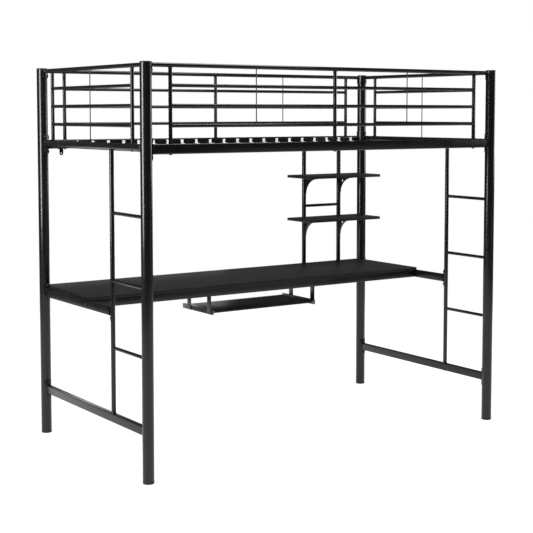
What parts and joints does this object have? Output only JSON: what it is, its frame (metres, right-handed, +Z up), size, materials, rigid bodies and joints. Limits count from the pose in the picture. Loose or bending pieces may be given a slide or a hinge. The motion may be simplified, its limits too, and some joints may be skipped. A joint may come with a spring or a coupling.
{
  "type": "loft bed with desk",
  "caption": "Metal loft bed for a single mattress with guards all round, ladders built into both ends, a full-length desk below, a shelf tower and a sliding keyboard tray.",
  "frame": {"origin": "on the floor, under the middle of the bed", "axes": "+X along the length, to the right of a person facing the desk; +Y to the back; +Z up"},
  "size_m": [2.0408, 1.0948, 1.8],
  "materials": {
    "powder_coat": "satin black powder coat on steel tube",
    "black_plastic": "injection-moulded black plastic with a fine texture",
    "black_laminate": "fibreboard faced and edged in black satin laminate",
    "slide_steel": "zinc-plated pressed steel, as on a drawer slide"
  },
  "bodies": {
    "frame": {"bottom_rail_left": "powder_coat", "bottom_rail_right": "powder_coat", "desk_back_rail": "powder_coat", "desk_front_rail": "powder_coat", "desk_support_left": "powder_coat", "desk_support_right": "powder_coat", "desk_top": "black_laminate", "end_rail_left": "powder_coat", "end_rail_right": "powder_coat", "guard_back": "powder_coat", "guard_front": "powder_coat", "guard_left": "powder_coat", "guard_right": "powder_coat", "ladder_upright_left": "powder_coat", "ladder_upright_right": "powder_coat", "post_back_left": "powder_coat", "post_back_right": "powder_coat", "post_cap_back_left": "black_plastic", "post_cap_back_right": "black_plastic", "post_cap_front_left": "black_plastic", "post_cap_front_right": "black_plastic", "post_foot_back_left": "black_plastic", "post_foot_back_right": "black_plastic", "post_foot_front_left": "black_plastic", "post_foot_front_right": "black_plastic", "post_front_left": "powder_coat", "post_front_right": "powder_coat", "rail_lug": "powder_coat", "rung_left_1": "powder_coat", "rung_left_2": "powder_coat", "rung_left_3": "powder_coat", "rung_right_1": "powder_coat", "rung_right_2": "powder_coat", "rung_right_3": "powder_coat", "shelf_crossbar": "powder_coat", "shelf_gusset_lower_left": "powder_coat", "shelf_gusset_lower_right": "powder_coat", "shelf_gusset_upper_left": "powder_coat", "shelf_gusset_upper_right": "powder_coat", "shelf_lower": "black_laminate", "shelf_upper": "black_laminate", "shelf_upright_left": "powder_coat", "shelf_upright_right": "powder_coat", "side_rail_back": "powder_coat", "side_rail_front": "powder_coat", "slat_deck": "powder_coat", "tray_hanger_left": "powder_coat", "tray_hanger_right": "powder_coat"},
    "tray": {"keyboard_tray": "black_laminate", "tray_slide_left": "slide_steel", "tray_slide_right": "slide_steel"}
  },
  "joints": [
    {"name": "tray_pull", "type": "slide", "parent": "frame", "child": "tray", "axis": [0, -1, 0], "range_m": [0, 0.2]}
  ]
}
